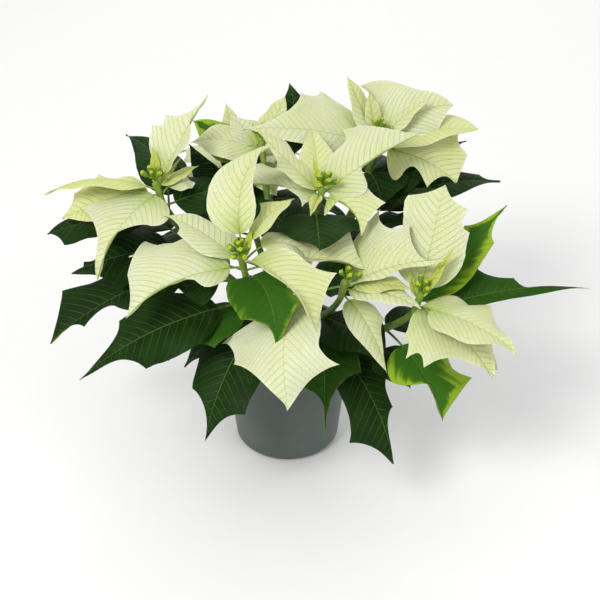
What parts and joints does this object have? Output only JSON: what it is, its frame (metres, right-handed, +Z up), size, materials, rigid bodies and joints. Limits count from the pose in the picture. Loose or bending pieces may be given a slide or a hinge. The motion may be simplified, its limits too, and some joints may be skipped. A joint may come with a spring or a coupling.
{
  "type": "poinsettia in a plastic pot",
  "caption": "Cream-bracted poinsettia with toothed dark leaves, grown on leafy stems from one trunk in a round tapered grey nursery pot; stands on the pot's flat base.",
  "frame": {"origin": "centre of the pot's flat base, on the surface it stands on", "axes": "+Z up along the pot's axis, -Y towards the viewer's side of the plant, +X to the viewer's right"},
  "size_m": [0.4821, 0.3731, 0.3392],
  "materials": {
    "pot": "grey moulded plastic, slightly satin",
    "soil": null,
    "trunk": "green-brown woody stem",
    "leafy_stem_left": null,
    "leafy_stem_front": null,
    "leafy_stem_middle": null,
    "leafy_stem_right": null,
    "leafy_stem_far": null,
    "leafy_stem_rear": null,
    "leafy_stem_low": null,
    "leafy_stem_back": null,
    "bracts_left": null,
    "bracts_front": null,
    "bracts_middle": null,
    "bracts_right": null,
    "bracts_far": null,
    "bracts_rear": null,
    "bracts_low": null,
    "bracts_back": null,
    "cyathia_left": null,
    "cyathia_front": null,
    "cyathia_middle": null,
    "cyathia_right": null,
    "cyathia_far": null,
    "cyathia_rear": null,
    "cyathia_low": null,
    "cyathia_back": null
  },
  "bodies": {
    "root": {"pot": "pot", "soil": "soil", "trunk": "trunk", "leafy_stem_left": "leafy_stem_left", "leafy_stem_front": "leafy_stem_front", "leafy_stem_middle": "leafy_stem_middle", "leafy_stem_right": "leafy_stem_right", "leafy_stem_far": "leafy_stem_far", "leafy_stem_rear": "leafy_stem_rear", "leafy_stem_low": "leafy_stem_low", "leafy_stem_back": "leafy_stem_back", "bracts_left": "bracts_left", "bracts_front": "bracts_front", "bracts_middle": "bracts_middle", "bracts_right": "bracts_right", "bracts_far": "bracts_far", "bracts_rear": "bracts_rear", "bracts_low": "bracts_low", "bracts_back": "bracts_back", "cyathia_left": "cyathia_left", "cyathia_front": "cyathia_front", "cyathia_middle": "cyathia_middle", "cyathia_right": "cyathia_right", "cyathia_far": "cyathia_far", "cyathia_rear": "cyathia_rear", "cyathia_low": "cyathia_low", "cyathia_back": "cyathia_back"}
  },
  "joints": []
}
